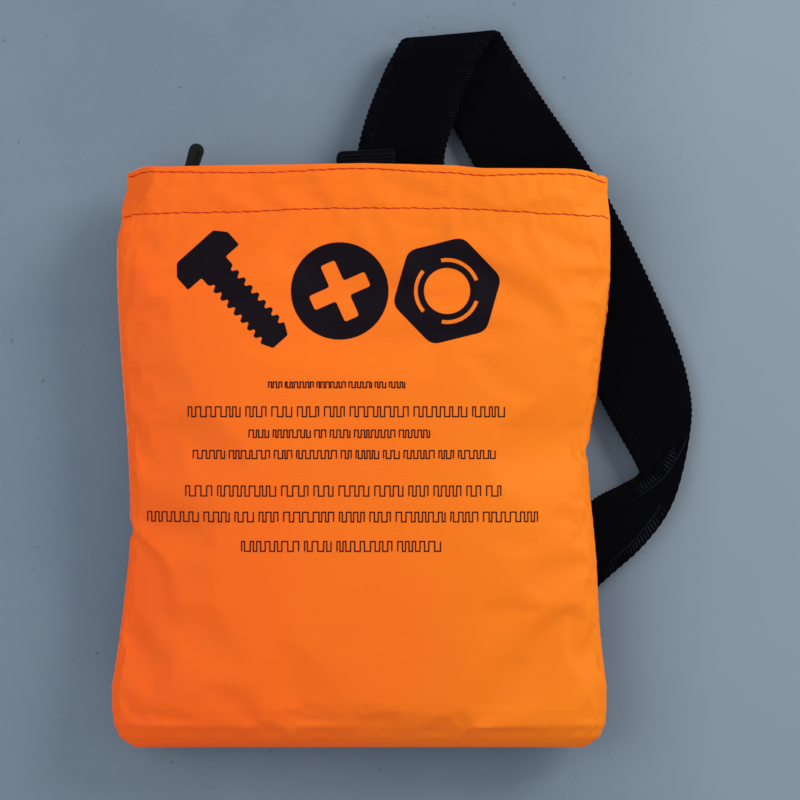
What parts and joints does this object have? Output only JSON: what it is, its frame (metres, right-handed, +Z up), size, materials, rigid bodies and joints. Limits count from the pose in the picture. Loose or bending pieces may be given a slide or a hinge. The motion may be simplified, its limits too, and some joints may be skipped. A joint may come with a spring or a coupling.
{
  "type": "debris pouch",
  "caption": "Flat zipped fabric pouch in high-visibility orange, on a black webbing strap with a side-release buckle behind it.",
  "frame": {"origin": "middle of the underside of the whole object's box, strap included", "axes": "+Z up towards the zipped mouth, -Y out of the printed front, +X to the right as seen from the front"},
  "size_m": [0.241, 0.0364, 0.2978],
  "materials": {
    "orange_fabric": "coated plain-weave polyester, high-visibility orange, slight sheen",
    "print_ink": "black screen-printed ink on the front fabric",
    "red_thread": "red polyester stitching",
    "binding": "black seam binding tape",
    "zip_tape": "black woven zip tape",
    "zip_teeth": "black nylon zip elements",
    "zip_metal": "black-plated die-cast zip metal",
    "puller_plastic": "black moulded zip puller with a grey sheen",
    "webbing": "black polyester webbing with ribbed edges",
    "black_thread": "black polyester stitching",
    "buckle_plastic": "black moulded acetal, fine texture",
    "elastic": "black woven elastic"
  },
  "bodies": {
    "pouch": {"front_panel": "orange_fabric", "back_panel": "orange_fabric", "front_facing": "orange_fabric", "back_facing": "orange_fabric", "hem_thread_upper": "red_thread", "hem_thread_lower": "red_thread", "seam_binding_left": "binding", "seam_binding_right": "binding", "zip_tape_front": "zip_tape", "zip_tape_back": "zip_tape", "zip_teeth_front": "zip_teeth", "zip_teeth_back": "zip_teeth", "closing_stop": "zip_metal", "opening_stop": "zip_metal", "hanging_loop": "webbing", "strap": "webbing", "buckle_chape": "webbing", "strap_stitching_lower": "black_thread", "strap_stitching_upper": "black_thread", "chape_stitching": "black_thread", "buckle_socket": "buckle_plastic", "buckle_plug": "buckle_plastic"},
    "slider": {"zip_slider": "zip_metal"},
    "ring": {"puller_ring": "zip_metal"},
    "tab": {"puller_tab": "puller_plastic"},
    "latch_upper": {"latch_arm_upper": "buckle_plastic"},
    "latch_lower": {"latch_arm_lower": "buckle_plastic"},
    "keeper": {"tail_keeper": "elastic"}
  },
  "joints": [
    {"name": "zip_slide", "type": "slide", "parent": "pouch", "child": "slider", "axis": [1, 0, 0], "range_m": [0, 0.125]},
    {"name": "ring_lean", "type": "hinge", "parent": "slider", "child": "ring", "pos_m": [-0.09147, -0.00545, 0.2256], "axis": [0, 1, 0], "range_deg": [-35, 30]},
    {"name": "tab_swing", "type": "hinge", "parent": "ring", "child": "tab", "pos_m": [-0.09012, -0.00545, 0.23], "axis": [0, 1, 0], "range_deg": [-28, 35]},
    {"name": "latch_upper_press", "type": "hinge", "parent": "pouch", "child": "latch_upper", "pos_m": [-0.02597, 0.01175, 0.064], "axis": [0, 1, 0], "range_deg": [-6, 0]},
    {"name": "latch_lower_press", "type": "hinge", "parent": "pouch", "child": "latch_lower", "pos_m": [-0.02597, 0.01175, 0.036], "axis": [0, 1, 0], "range_deg": [0, 6]},
    {"name": "keeper_slide", "type": "slide", "parent": "pouch", "child": "keeper", "axis": [1, 0, 0], "range_m": [-0.004, 0.012]}
  ],
  "couplings": [
    {"joint": "latch_lower_press", "follows": "latch_upper_press", "ratio": -1}
  ]
}
